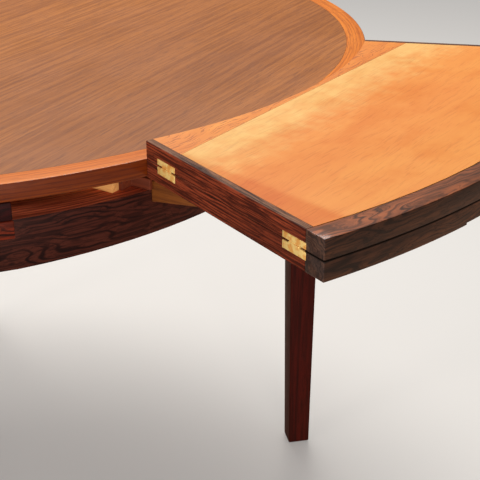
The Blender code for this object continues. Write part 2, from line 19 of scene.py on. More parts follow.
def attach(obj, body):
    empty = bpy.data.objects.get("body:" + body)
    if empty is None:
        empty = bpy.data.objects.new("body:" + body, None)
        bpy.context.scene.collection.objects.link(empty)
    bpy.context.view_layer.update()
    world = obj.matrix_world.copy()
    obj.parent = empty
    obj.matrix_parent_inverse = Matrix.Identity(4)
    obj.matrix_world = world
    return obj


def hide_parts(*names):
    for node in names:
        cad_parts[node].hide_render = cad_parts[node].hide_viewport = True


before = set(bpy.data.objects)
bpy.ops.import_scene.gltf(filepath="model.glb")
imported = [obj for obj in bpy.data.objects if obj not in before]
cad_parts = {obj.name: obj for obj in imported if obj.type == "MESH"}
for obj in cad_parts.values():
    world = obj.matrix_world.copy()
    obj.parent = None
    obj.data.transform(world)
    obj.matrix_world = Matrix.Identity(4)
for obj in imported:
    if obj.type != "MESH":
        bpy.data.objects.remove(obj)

LOG = logging.getLogger("table")
NODES: dict[str, bpy.types.Object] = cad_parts
Colour = tuple[float, float, float]
Point = tuple[float, float, float]
Socket = bpy.types.NodeSocket
Value = Socket | float
Mixed = Socket | Colour

# Sizes that the solids share, in metres
HEIGHT = 0.745
TOP_RADIUS = 0.600
TOP_THICKNESS = 0.0185
LIPPING_WIDTH = 0.025
BOARD_THICKNESS = 0.0189
SIDE_STRIP_WIDTH = 0.0085
INNER_BAND_WIDTH = 0.0056
TOUCH_GAP = 0.0003
SIDE_GAP = 0.0005
LEAF_INNER = 0.601
LEAF_OUTER = 0.87999
TRAVEL = 0.31643
RISE = 0.0382
LOWER_BOTTOM = HEIGHT - BOARD_THICKNESS
UPPER_BOTTOM = HEIGHT + TOUCH_GAP
HINGE_HEIGHT = HEIGHT + TOUCH_GAP / 2
QUARTER = math.pi / 2
HALF_ANGLE = QUARTER / 4
AXIS = Vector((0.0, 0.14, 0.0))
LEAF_LETTERS = "abcd"

# Limits of the modelling itself: metres, a cosine (ALIGNED) and radians
CUT_OVERRUN = 0.01
MERGE_DISTANCE = 1e-6
SEAM_REACH = 1e-5
ALIGNED = 0.9999
FLAT_ANGLE = math.radians(0.05)
SMOOTH_ANGLE = math.radians(30)

UNTINTED: Colour = (1.0, 1.0, 1.0)
ORIGIN: Point = (0.0, 0.0, 0.0)


def linear(value: float) -> float:
    """Linear share of one 8-bit screen value."""
    share = value / 255
    return share / 12.92 if share <= 0.04045 else ((share + 0.055) / 1.055) ** 2.4


def srgb(red: float, green: float, blue: float) -> Colour:
    """Linear colour of an 8-bit screen colour."""
    return (linear(red), linear(green), linear(blue))


def opaque(colour: Colour) -> tuple[float, float, float, float]:
    """The colour with an alpha of 1."""
    return (*colour[:3], 1.0)


def body_of(letter: str, level: str) -> str:
    """Body that one board of a leaf rides on; only the drawn leaf's upper board has its own."""
    return "leaf_a_flap" if (letter, level) == ("a", "upper") else f"leaf_{letter}"


# Shader nodes

class NodeSheet:
    """A node tree under construction."""

    def __init__(self, tree: bpy.types.NodeTree) -> None:
        """Keep the tree.

        Args:
            tree: Tree that gets the nodes.
        """
        self.tree = tree

    def add(self, kind: str, inputs: dict | None = None, **settings: object) -> bpy.types.Node:
        """Add a node, set it up and link it.

        Args:
            kind: Blender's type name of the node.
            inputs: Values or output sockets, by input name or number.
            settings: Properties of the node itself.

        Returns:
            The new node.
        """
        node = self.tree.nodes.new(kind)
        for key, value in settings.items():
            setattr(node, key, value)
        for key, value in (inputs or {}).items():
            self.feed(node.inputs[key], value)
        return node

    def feed(self, socket: Socket, value: Socket | float | Sequence[float]) -> None:
        """Link a socket to another, or set its value.

        Args:
            socket: Input to feed.
            value: Output socket, number, vector or colour.
        """
        if isinstance(value, bpy.types.NodeSocket):
            self.tree.links.new(value, socket)
        elif socket.type == "RGBA":
            socket.default_value = opaque(value)
        else:
            socket.default_value = value

    def math(self, operation: str, first: Value, second: Value = 0.0) -> Socket:
        """Result of a Math node with one value or two."""
        return self.add("ShaderNodeMath", {0: first, 1: second}, operation=operation).outputs[0]

    def sum(self, first: Value, second: Value) -> Socket:
        """Sum of two values."""
        return self.math("ADD", first, second)

    def product(self, first: Value, second: Value) -> Socket:
        """Product of two values."""
        return self.math("MULTIPLY", first, second)

    def mix(self, factor: Value, first: Mixed, second: Mixed, blend: str = "MIX") -> Socket:
        """Mix of two colours.

        Args:
            factor: Share of the second colour, or its socket.
            first: First colour or socket.
            second: Second colour or socket.
            blend: Blender's name of the way of mixing.

        Returns:
            The mixed colour's socket.
        """
        node = self.add("ShaderNodeMix", data_type="RGBA", blend_type=blend)
        for index, value in ((0, factor), (6, first), (7, second)):
            self.feed(node.inputs[index], value)
        return node.outputs[2]

    def tint(self, factor: Value, colour: Socket, tint: Colour) -> Socket:
        """Colour that takes a share of a tint.

        Args:
            factor: Share of the tint, or its socket.
            colour: Colour to tint.
            tint: What each part of the colour is multiplied by.

        Returns:
            The tinted colour's socket.
        """
        return self.mix(factor, colour, self.mix(1.0, colour, tint, "MULTIPLY"))

    def ramp(self, value: Value, low: float, high: float,
             to_low: float = 0.0, to_high: float = 1.0) -> Socket:
        """A value carried smoothly from one range to another, and held there.

        Args:
            value: Socket to carry over.
            low: Start of its range.
            high: End of its range.
            to_low: Result at and before the start.
            to_high: Result at and after the end.

        Returns:
            The result's socket.
        """
        inputs = {0: value, 1: low, 2: high, 3: to_low, 4: to_high}
        return self.add("ShaderNodeMapRange", inputs, interpolation_type="SMOOTHSTEP").outputs[0]

    def split(self, vector: Socket) -> Sequence[Socket]:
        """X, Y and Z of a vector."""
        return self.add("ShaderNodeSeparateXYZ", {0: vector}).outputs

    def vector(self, x: Value, y: Value, z: Value) -> Socket:
        """Vector of three values."""
        return self.add("ShaderNodeCombineXYZ", {0: x, 1: y, 2: z}).outputs[0]

    def scaled(self, vector: Socket, factors: Point) -> Socket:
        """Vector with each part times its factor."""
        node = self.add("ShaderNodeVectorMath", {0: vector, 1: factors}, operation="MULTIPLY")
        return node.outputs[0]

    def noise(self, vector: Socket, detail: float = 2.0, roughness: float = 0.5) -> Socket:
        """Value of a noise over a vector whose parts are already scaled."""
        inputs = {"Vector": vector, "Scale": 1.0, "Detail": detail, "Roughness": roughness}
        return self.add("ShaderNodeTexNoise", inputs).outputs[0]

    def turned(self, vector: Socket, place: Point, turn: Point) -> Socket:
        """Vector measured in a frame that stands at a place, turned."""
        inputs = {"Vector": vector, "Location": place, "Rotation": turn}
        return self.add("ShaderNodeMapping", inputs, vector_type="TEXTURE").outputs[0]

    def from_left_side(self, local: Socket) -> Socket:
        """Distance from a leaf's left side.

        Args:
            local: Coordinates in the leaf's frame.

        Returns:
            The distance's socket.
        """
        x, y, _ = self.split(local)
        inwards = self.product(y, -math.sin(HALF_ANGLE))
        return self.sum(inwards, self.product(x, math.cos(HALF_ANGLE)))


class Effects:
    """Shader node groups that several finishes share, each built once."""

    built: dict[str, bpy.types.NodeTree] = {}

    # Steps in the pattern from one jointed length to the next, and the half width of a joint
    length_jump = 3.17
    length_lift = 0.271
    joint_core = 0.0002
    joint_reach = 0.0007

    # Fine lines per metre, and how much denser the pores are
    lines_across = 260.0
    lines_along = 7.0
    pores_across = 3.4
    pores_along = 7.0

    # Frequencies of the tone and of what breaks up the veins, as shares of the figure's
    tone_shares = (0.55, 0.8, 0.8)
    break_shares = (1.7, 2.3, 2.3)

    # Upward part of the normal at which a face stops counting as a side; arrises count as sides,
    # so they take the painted side shade and light too
    side_tilt = 0.80
    level_tilt = 0.97

    @classmethod
    def begin(cls, name: str, inputs: dict, outputs: dict) -> tuple[NodeSheet, dict, bpy.types.Node]:
        """Start a node group.

        Args:
            name: Name of the group.
            inputs: Default value of each input; a tuple makes a vector.
            outputs: Blender's socket type of each output.

        Returns:
            The sheet, the sockets of the inputs by name, and the output node.
        """
        tree = bpy.data.node_groups.new(name, "ShaderNodeTree")
        for label, value in inputs.items():
            kind = "NodeSocketVector" if isinstance(value, tuple) else "NodeSocketFloat"
            socket = tree.interface.new_socket(label, in_out="INPUT", socket_type=kind)
            socket.default_value = value
        for label, kind in outputs.items():
            tree.interface.new_socket(label, in_out="OUTPUT", socket_type=kind)
        sheet = NodeSheet(tree)
        entry = sheet.add("NodeGroupInput")
        return sheet, {label: entry.outputs[label] for label in inputs}, sheet.add("NodeGroupOutput")

    @classmethod
    def place(cls, sheet: NodeSheet, name: str, inputs: dict) -> bpy.types.Node:
        """Put a shared group into a tree, building it at its first use.

        Args:
            sheet: Tree that gets the group.
            name: Name of the group, which is also the name of its builder.
            inputs: Values or sockets, by input name.

        Returns:
            The group's node.
        """
        if name not in cls.built:
            cls.built[name] = getattr(cls, name)()
        node = sheet.tree.nodes.new("ShaderNodeGroup")
        node.node_tree = cls.built[name]
        for label, value in inputs.items():
            sheet.feed(node.inputs[label], value)
        return node

    @classmethod
    def round_grain(cls) -> bpy.types.NodeTree:
        """Grain that runs round the Z axis, in jointed lengths.

        Returns:
            The group's tree.
        """
        sheet, entry, out = cls.begin(
            "round_grain",
            {"Vector": ORIGIN, "Radius": 0.6, "Lengths": 8.0},
            {"Vector": "NodeSocketVector", "Joint": "NodeSocketFloat"},
        )
        x, y, z = sheet.split(entry["Vector"])
        angle = sheet.math("ARCTAN2", y, x)
        turn = sheet.sum(sheet.math("DIVIDE", angle, math.tau), 0.5)
        share = sheet.product(turn, entry["Lengths"])
        number = sheet.math("FLOOR", share)
        rest = sheet.math("FRACT", share)
        squares = sheet.sum(sheet.product(x, x), sheet.product(y, y))
        along = sheet.product(angle, entry["Radius"])
        jump = sheet.product(number, cls.length_jump)
        lift = sheet.sum(z, sheet.product(number, cls.length_lift))
        grain = sheet.vector(sheet.sum(along, jump), sheet.math("SQRT", squares), lift)
        near = sheet.math("MINIMUM", rest, sheet.math("SUBTRACT", 1.0, rest))
        length = sheet.math("DIVIDE", sheet.product(entry["Radius"], math.tau), entry["Lengths"])
        away = sheet.product(near, length)
        sheet.feed(out.inputs["Vector"], grain)
        sheet.feed(out.inputs["Joint"], sheet.ramp(away, cls.joint_core, cls.joint_reach, 1.0, 0.0))
        return sheet.tree

    @classmethod
    def figure(cls) -> bpy.types.NodeTree:
        """Figure of a sawn or sliced wood, whose grain runs along X.

        Returns:
            The group's tree, with masks for tone, veins, fine lines and pores.
        """
        values = {"Band": 0.014, "Wander": 0.01, "Along": 3.0, "Across": 14.0, "Fineness": 1.0}
        masks = dict.fromkeys(("Tone", "Veins", "Lines", "Pores"), "NodeSocketFloat")
        sheet, entry, out = cls.begin("figure", {"Vector": ORIGIN} | values, masks)
        x, y, z = sheet.split(entry["Vector"])
        long_x = sheet.product(x, entry["Along"])
        wide_y = sheet.product(y, entry["Across"])
        wide_z = sheet.product(z, entry["Across"])
        broad = sheet.vector(long_x, wide_y, wide_z)
        drift = sheet.math("SUBTRACT", sheet.noise(broad, 3.0), 0.5)
        bent_y = sheet.sum(y, sheet.product(drift, entry["Wander"]))
        phase = sheet.math("DIVIDE", sheet.sum(bent_y, z), entry["Band"])
        crest = sheet.ramp(sheet.math("COSINE", sheet.product(phase, math.tau)), 0.1, 1.0)
        second = sheet.noise(sheet.scaled(broad, cls.break_shares), 2.0)
        veins = sheet.product(crest, sheet.ramp(second, 0.38, 0.62, 0.3, 1.0))
        tone = sheet.ramp(sheet.noise(sheet.scaled(broad, cls.tone_shares), 4.0, 0.6), 0.32, 0.68)
        line_rate = sheet.product(entry["Fineness"], cls.lines_across)
        line_y = sheet.product(bent_y, line_rate)
        line_z = sheet.product(z, line_rate)
        line_x = sheet.product(x, sheet.product(entry["Fineness"], cls.lines_along))
        lines = sheet.ramp(sheet.noise(sheet.vector(line_x, line_y, line_z), 3.0, 0.6), 0.42, 0.62)
        pore_y = sheet.product(line_y, cls.pores_across)
        pore_z = sheet.product(line_z, cls.pores_across)
        pore_x = sheet.product(line_x, cls.pores_along)
        pores = sheet.ramp(sheet.noise(sheet.vector(pore_x, pore_y, pore_z), 1.0), 0.57, 0.66)
        for label, value in (("Tone", tone), ("Veins", veins), ("Lines", lines), ("Pores", pores)):
            sheet.feed(out.inputs[label], value)
        return sheet.tree

    @classmethod
    def faces(cls) -> bpy.types.NodeTree:
        """Mask of the upright faces of a piece, and soft patches of handling.

        Returns:
            The group's tree.
        """
        sheet, entry, out = cls.begin(
            "faces", {"Patch": 9.0}, {"Side": "NodeSocketFloat", "Haze": "NodeSocketFloat"}
        )
        coordinates = sheet.add("ShaderNodeTexCoord")
        _, _, up = sheet.split(coordinates.outputs["Normal"])
        # The side mask places the painted shade and light of the side tints, and the upright grain
        side = sheet.ramp(sheet.math("ABSOLUTE", up), cls.side_tilt, cls.level_tilt, 1.0, 0.0)
        place = {0: coordinates.outputs["Object"], "Scale": entry["Patch"]}
        spread = sheet.add("ShaderNodeVectorMath", place, operation="SCALE").outputs[0]
        sheet.feed(out.inputs["Side"], side)
        sheet.feed(out.inputs["Haze"], sheet.ramp(sheet.noise(spread, 4.0, 0.6), 0.3, 0.7))
        return sheet.tree


# Finishes

class Grain(Enum):
    """How the grain lies on a piece."""

    STRAIGHT = "straight"
    ROUND = "round"
    UPRIGHT = "upright"
    SIDEWAYS = "along the slanting sides of a leaf"


@dataclass(frozen=True)
class Seat:
    """Where a piece lies, so that its pattern moves and turns with it."""

    tag: str = ""
    place: Point = tuple(AXIS)
    turn: float = 0.0


@dataclass(frozen=True)
class Wood:
    """A wood finish: its colours, its figure and its sheen.

    Colours and shares say how the figure shows, side is painted shade and light that tints
    the upright faces, band and wander are the veins' spacing and drift, along and across
    the figure's frequencies.
    """

    name: str
    light: Colour
    deep: Colour
    vein: Colour
    pore: Colour
    # Painted shade and light: a tint that multiplies the colour of the upright faces
    side: Colour = UNTINTED
    grain: Grain = Grain.STRAIGHT
    turn: float = 0.0
    radius: float = 0.6
    lengths: float = 1.0
    band: float = 0.014
    wander: float = 0.010
    upright_extra: float = 0.0
    along: float = 3.0
    across: float = 14.0
    fineness: float = 1.0
    vein_share: float = 0.5
    upright_vein_share: float = 0.5
    line_share: float = 0.4
    pore_share: float = 0.4
    roughness: float = 0.42
    gloss: float = 0.3
    coat: float = 0.15
    coat_roughness: float = 0.22
    relief: float = 0.12
    relief_depth: float = 0.0006
    joint_share: float = 0.6
    side_lift: float = 0.31
    haze_roughness: float = 0.08
    pore_roughness: float = 0.15

    def material(self, seat: Seat = Seat()) -> bpy.types.Material:
        """The finish for pieces at one seat, built at its first use.

        Args:
            seat: Where the pieces lie.

        Returns:
            The material.
        """
        label = f"{self.name}_finish_{seat.tag}" if seat.tag else f"{self.name}_finish"
        found = bpy.data.materials.get(label)
        if found:
            return found
        material = bpy.data.materials.new(label)
        material.use_nodes = True
        sheet = NodeSheet(material.node_tree)
        shader = material.node_tree.nodes["Principled BSDF"]
        source = sheet.add("ShaderNodeTexCoord").outputs["Object"]
        local = sheet.turned(source, seat.place, (0.0, 0.0, seat.turn))
        space, joint = self.grain_space(sheet, local)
        faces = Effects.place(sheet, "faces", {})
        side = faces.outputs["Side"]
        wander = sheet.sum(sheet.product(side, self.upright_extra), self.wander)
        figure = Effects.place(sheet, "figure", {
            "Vector": space, "Band": self.band, "Wander": wander,
            "Along": self.along, "Across": self.across, "Fineness": self.fineness})
        extra_share = sheet.product(side, self.upright_vein_share - self.vein_share)
        vein_share = sheet.sum(extra_share, self.vein_share)
        veins = sheet.product(figure.outputs["Veins"], vein_share)
        lines = sheet.product(figure.outputs["Lines"], self.line_share)
        pores = sheet.product(figure.outputs["Pores"], self.pore_share)
        colour = sheet.mix(figure.outputs["Tone"], self.light, self.deep)
        for share, darker in ((veins, self.vein), (lines, self.vein), (pores, self.pore)):
            colour = sheet.mix(share, colour, darker)
        colour = self.detail(sheet, local, colour)
        if joint:
            colour = sheet.mix(sheet.product(joint, self.joint_share), colour, self.pore)
        # Painted shade and light on the upright faces: the side tint multiplies their colour, shade where
        # below 1, light where above 1
        if self.side != UNTINTED:
            colour = sheet.tint(side, colour, self.side)
        sheet.feed(shader.inputs["Base Color"], colour)
        haze = sheet.product(faces.outputs["Haze"], self.haze_roughness)
        dull = sheet.sum(haze, self.roughness - self.haze_roughness / 2)
        rough = sheet.sum(dull, sheet.product(pores, self.pore_roughness))
        sheet.feed(shader.inputs["Roughness"], rough)
        shader.inputs["Specular IOR Level"].default_value = self.gloss
        shader.inputs["Coat Weight"].default_value = self.coat
        shader.inputs["Coat Roughness"].default_value = self.coat_roughness
        depth = sheet.sum(pores, sheet.product(lines, 0.5))
        height = {"Strength": self.relief, "Distance": self.relief_depth, "Height": depth}
        bump = sheet.add("ShaderNodeBump", height, invert=True)
        sheet.feed(shader.inputs["Normal"], bump.outputs[0])
        return material

    def grain_space(self, sheet: NodeSheet, local: Socket) -> tuple[Socket, Socket | None]:
        """Coordinates with X along the grain, and the mask of the joints, if any.

        Args:
            sheet: Tree of the material.
            local: Coordinates in the seat's own frame.

        Returns:
            The coordinates' socket and the mask's socket.
        """
        if self.grain is Grain.ROUND:
            node = Effects.place(sheet, "round_grain", {
                "Vector": local, "Radius": self.radius, "Lengths": self.lengths})
            return node.outputs["Vector"], node.outputs["Joint"] if self.lengths > 1 else None
        if self.grain is Grain.UPRIGHT:
            return sheet.turned(local, ORIGIN, (0.0, QUARTER, self.turn)), None
        if self.grain is Grain.SIDEWAYS:
            x, y, z = sheet.split(local)
            lift = sheet.sum(z, sheet.product(sheet.math("SIGN", x), self.side_lift))
            folded = sheet.vector(sheet.math("ABSOLUTE", x), y, lift)
            return sheet.turned(folded, ORIGIN, (0.0, 0.0, HALF_ANGLE - QUARTER)), None
        return sheet.turned(local, ORIGIN, (0.0, 0.0, self.turn)), None

    def detail(self, sheet: NodeSheet, local: Socket, colour: Socket) -> Socket:
        """Colour with what only this finish shows; plain wood shows nothing more."""
        return colour


@dataclass(frozen=True)
class PaleVeneer(Wood):
    """Pale veneer of a leaf, laid beside a deeper flitch along its left side.

    The flitch ends at an offset from the leaf's left side and slopes across it. The paler
    half lies inwards of pale_start and is full from pale_end, as places on the leaf's Y.
    """

    flitch: Colour = (0.9, 0.6, 0.4)
    flitch_share: float = 0.62
    flitch_offset: float = 0.0808
    flitch_slope: float = 0.153
    flitch_blur: tuple[float, float] = (-0.004, 0.008)
    flitch_waver: float = 0.004
    paler: Colour = (1.0, 1.3, 1.4)
    pale_start: float = -0.660
    pale_end: float = -0.565
    pale_waver: float = 0.07
    waver_rate: float = 60.0
    stain_rates: Point = (15.0, 22.0, 22.0)
    stain_share: float = 0.30

    def detail(self, sheet: NodeSheet, local: Socket, colour: Socket) -> Socket:
        """Colour with soft stains, the deeper flitch and a paler inner half.

        Args:
            sheet: Tree of the material.
            local: Coordinates in the leaf's frame.
            colour: Colour of the plain veneer.

        Returns:
            The detailed colour's socket.
        """
        _, y, _ = sheet.split(local)
        waver = sheet.noise(sheet.scaled(local, (self.waver_rate,) * 3), 2.0)
        place = sheet.sum(y, sheet.product(waver, self.pale_waver))
        colour = sheet.tint(sheet.ramp(place, self.pale_start, self.pale_end), colour, self.paler)
        edge = sheet.sum(sheet.from_left_side(local), sheet.product(waver, self.flitch_waver))
        edge = sheet.sum(edge, sheet.product(y, self.flitch_slope))
        full, none = (blur - self.flitch_offset for blur in self.flitch_blur)
        colour = sheet.tint(sheet.ramp(edge, full, none, self.flitch_share, 0.0), colour, self.flitch)
        stain = sheet.noise(sheet.scaled(local, self.stain_rates), 7.0, 0.66)
        return sheet.tint(sheet.ramp(stain, 0.43, 0.66, 0.0, self.stain_share), colour, self.flitch)


@dataclass(frozen=True)
class StackedWood(Wood):
    """Edge of two boards that lie on each other, greyer on its cut end; painted shade darkens its upright
    faces and the seam.
    """

    end: Colour = (1.6, 2.2, 3.3)
    end_depth: tuple[float, float] = (SIDE_GAP + 0.0002, SIDE_GAP + 0.0008)
    # Painted shade in the seam between the two boards: its tint and its reach
    groove_shade: Colour = (0.12, 0.12, 0.12)
    groove_shade_reach: tuple[float, float] = (0.0008, 0.0014)

    def detail(self, sheet: NodeSheet, local: Socket, colour: Socket) -> Socket:
        """Colour with the cut end at the left side and painted shade in the seam between the boards.

        Args:
            sheet: Tree of the material.
            local: Coordinates in the leaf's frame.
            colour: Colour of the plain wood.

        Returns:
            The detailed colour's socket.
        """
        _, _, z = sheet.split(local)
        cut = sheet.ramp(sheet.from_left_side(local), *self.end_depth, 1.0, 0.0)
        colour = sheet.tint(cut, colour, self.end)
        # Painted shade: the seam between the two boards is darkened
        height = sheet.math("ABSOLUTE", sheet.math("SUBTRACT", z, HINGE_HEIGHT))
        return sheet.tint(sheet.ramp(height, *self.groove_shade_reach, 1.0, 0.0), colour, self.groove_shade)


@dataclass(frozen=True)
class Metal:
    """A brushed metal finish."""

    name: str
    colour: Colour
    dull_colour: Colour
    roughness: float = 0.42
    stroke_roughness: float = 0.16
    metallic: float = 0.2
    blotch_rates: Point = (160.0, 160.0, 160.0)
    stroke_rates: Point = (400.0, 400.0, 4200.0)
    relief: float = 0.15
    relief_depth: float = 0.0001

    def material(self) -> bpy.types.Material:
        """The finish, built at its first use.

        Returns:
            The material.
        """
        label = f"{self.name}_finish"
        found = bpy.data.materials.get(label)
        if found:
            return found
        material = bpy.data.materials.new(label)
        material.use_nodes = True
        sheet = NodeSheet(material.node_tree)
        shader = material.node_tree.nodes["Principled BSDF"]
        source = sheet.add("ShaderNodeTexCoord").outputs["Object"]
        blotch = sheet.ramp(sheet.noise(sheet.scaled(source, self.blotch_rates), 3.0), 0.40, 0.65)
        strokes = sheet.noise(sheet.scaled(source, self.stroke_rates), 2.0)
        sheet.feed(shader.inputs["Base Color"], sheet.mix(blotch, self.colour, self.dull_colour))
        worn = sheet.product(strokes, self.stroke_roughness)
        rough = sheet.sum(worn, self.roughness - self.stroke_roughness / 2)
        sheet.feed(shader.inputs["Roughness"], rough)
        shader.inputs["Metallic"].default_value = self.metallic
        height = {"Strength": self.relief, "Distance": self.relief_depth, "Height": strokes}
        bump = sheet.add("ShaderNodeBump", height)
        sheet.feed(shader.inputs["Normal"], bump.outputs[0])
        return material


@dataclass(frozen=True)
class Finishes:
    """Every finish of the table."""

    top_veneer: Wood = Wood(
        "top_veneer", srgb(186, 115, 54), srgb(165, 99, 46), srgb(126, 68, 31), srgb(92, 48, 25),
        turn=math.radians(7), band=0.017, wander=0.030, along=1.4, across=7.0, fineness=0.9,
        vein_share=0.34, line_share=0.5, pore_share=0.35, roughness=0.42, coat=0.08)
    # side: painted shade on the lipping's upright face
    top_lipping: Wood = Wood(
        "top_lipping", srgb(246, 144, 50), srgb(224, 121, 40), srgb(184, 90, 31), srgb(138, 66, 27),
        side=(0.225, 0.130, 0.036), grain=Grain.ROUND, radius=0.59, lengths=8.0, band=0.005, wander=0.010,
        along=2.0, across=30.0, vein_share=0.4, upright_vein_share=0.95, line_share=0.55, pore_share=0.4,
        roughness=0.44, gloss=0.14, coat=0.4, coat_roughness=0.12)
    leaf_panel: Wood = PaleVeneer(
        "leaf_panel", srgb(246, 164, 82), srgb(238, 146, 70), srgb(224, 120, 52), srgb(188, 92, 42),
        band=0.030, wander=0.040, along=3.5, across=11.0, fineness=0.8, vein_share=0.12, line_share=0.08,
        pore_share=0.2, roughness=0.42, gloss=0.2, coat=0.05, relief=0.06,
        flitch=(0.82, 0.50, 0.18), paler=(1.08, 1.9, 3.0))
    # side: painted shade on the band's upright faces
    inner_band: Wood = Wood(
        "inner_band", srgb(250, 162, 72), srgb(232, 136, 58), srgb(202, 104, 44), srgb(158, 74, 34),
        side=(0.45, 0.30, 0.25), band=0.020, wander=0.030, along=14.0, across=30.0, vein_share=0.2,
        upright_vein_share=0.2, line_share=0.15, pore_share=0.6, roughness=0.42, coat=0.1)
    # side: painted shade that makes the upright outer faces dark
    outer_lipping: Wood = StackedWood(
        "outer_lipping", srgb(198, 110, 62), srgb(110, 62, 40), srgb(62, 34, 23), srgb(43, 25, 19),
        side=(0.205, 0.235, 0.29), grain=Grain.ROUND, radius=0.87, band=0.007, wander=0.080, along=7.0,
        across=34.0, vein_share=0.75, upright_vein_share=0.8, line_share=0.45, pore_share=0.5,
        roughness=0.45, gloss=0.2, coat=0.3, coat_roughness=0.14)
    # side: painted light and shade, a redder, darker tone on the upright faces
    side_strip: Wood = Wood(
        "side_strip", srgb(156, 110, 82), srgb(116, 80, 60), srgb(58, 36, 30), srgb(38, 24, 20),
        side=(1.08, 0.40, 0.27), grain=Grain.SIDEWAYS, band=0.0030, wander=0.016, along=6.0, across=45.0,
        fineness=2.3, vein_share=0.5, upright_vein_share=0.95, line_share=0.9, pore_share=0.5,
        roughness=0.6, gloss=0.12, coat=0.0)
    corner_upper: Wood = Wood(
        "corner_upper", srgb(58, 15, 15), srgb(43, 12, 12), srgb(28, 9, 9), srgb(20, 8, 8),
        grain=Grain.ROUND, radius=0.6, band=0.006, wander=0.060, along=7.0, across=26.0,
        vein_share=0.7, upright_vein_share=0.9, line_share=0.5, roughness=0.5, gloss=0.1, coat=0.0)
    corner_lower: Wood = Wood(
        "corner_lower", srgb(126, 46, 25), srgb(88, 28, 15), srgb(30, 11, 8), srgb(24, 10, 7),
        grain=Grain.ROUND, radius=0.6, band=0.005, wander=0.060, along=7.0, across=26.0,
        vein_share=0.7, upright_vein_share=0.95, line_share=0.5, roughness=0.5, gloss=0.1, coat=0.0)
    # Painted light and shade: the level ledge is far paler than the upright faces, which the side tint
    # darkens strongly
    apron: Wood = Wood(
        "apron", srgb(255, 142, 100), srgb(236, 120, 82), srgb(112, 46, 34), srgb(92, 38, 28),
        side=(0.080, 0.072, 0.088), grain=Grain.ROUND, radius=0.5, lengths=4.0, band=0.0058,
        wander=0.008, upright_extra=0.120, along=5.0, across=15.0, vein_share=0.65,
        upright_vein_share=1.0, line_share=0.7, roughness=0.55, gloss=0.12, coat=0.0)
    leg: Wood = Wood(
        "leg", srgb(73, 18, 11), srgb(55, 13, 8), srgb(35, 10, 6), srgb(26, 9, 6),
        grain=Grain.UPRIGHT, turn=QUARTER / 2, band=0.012, wander=0.014, along=2.0, across=22.0,
        vein_share=0.5, line_share=0.5, roughness=0.5, gloss=0.08, coat=0.0)
    bridge: Wood = Wood(
        "bridge", srgb(176, 134, 92), srgb(156, 114, 76), srgb(128, 90, 58), srgb(98, 66, 42),
        roughness=0.6, coat=0.0)
    bearer: Wood = Wood(
        "bearer", srgb(138, 77, 29), srgb(120, 63, 23), srgb(98, 49, 18), srgb(74, 37, 16),
        turn=QUARTER, band=0.010, wander=0.008, vein_share=0.35, roughness=0.5, coat=0.0)
    guide_block: Wood = Wood(
        "guide_block", srgb(118, 50, 24), srgb(102, 41, 20), srgb(80, 31, 16), srgb(60, 25, 14),
        turn=QUARTER, band=0.010, wander=0.008, vein_share=0.35, roughness=0.6, coat=0.0)
    guide_board: Wood = Wood(
        "guide_board", srgb(255, 194, 120), srgb(248, 179, 105), srgb(222, 148, 82), srgb(182, 112, 58),
        turn=QUARTER, band=0.012, wander=0.008, vein_share=0.25, roughness=0.6, coat=0.0)
    peg: Wood = Wood(
        "peg", srgb(196, 148, 96), srgb(176, 128, 80), srgb(146, 100, 60), srgb(116, 78, 46),
        grain=Grain.UPRIGHT, band=0.006, wander=0.004, roughness=0.55, coat=0.0)
    brass: Metal = Metal("brass", srgb(255, 218, 136), srgb(240, 170, 84))


FINISHES = Finishes()


# Modelling

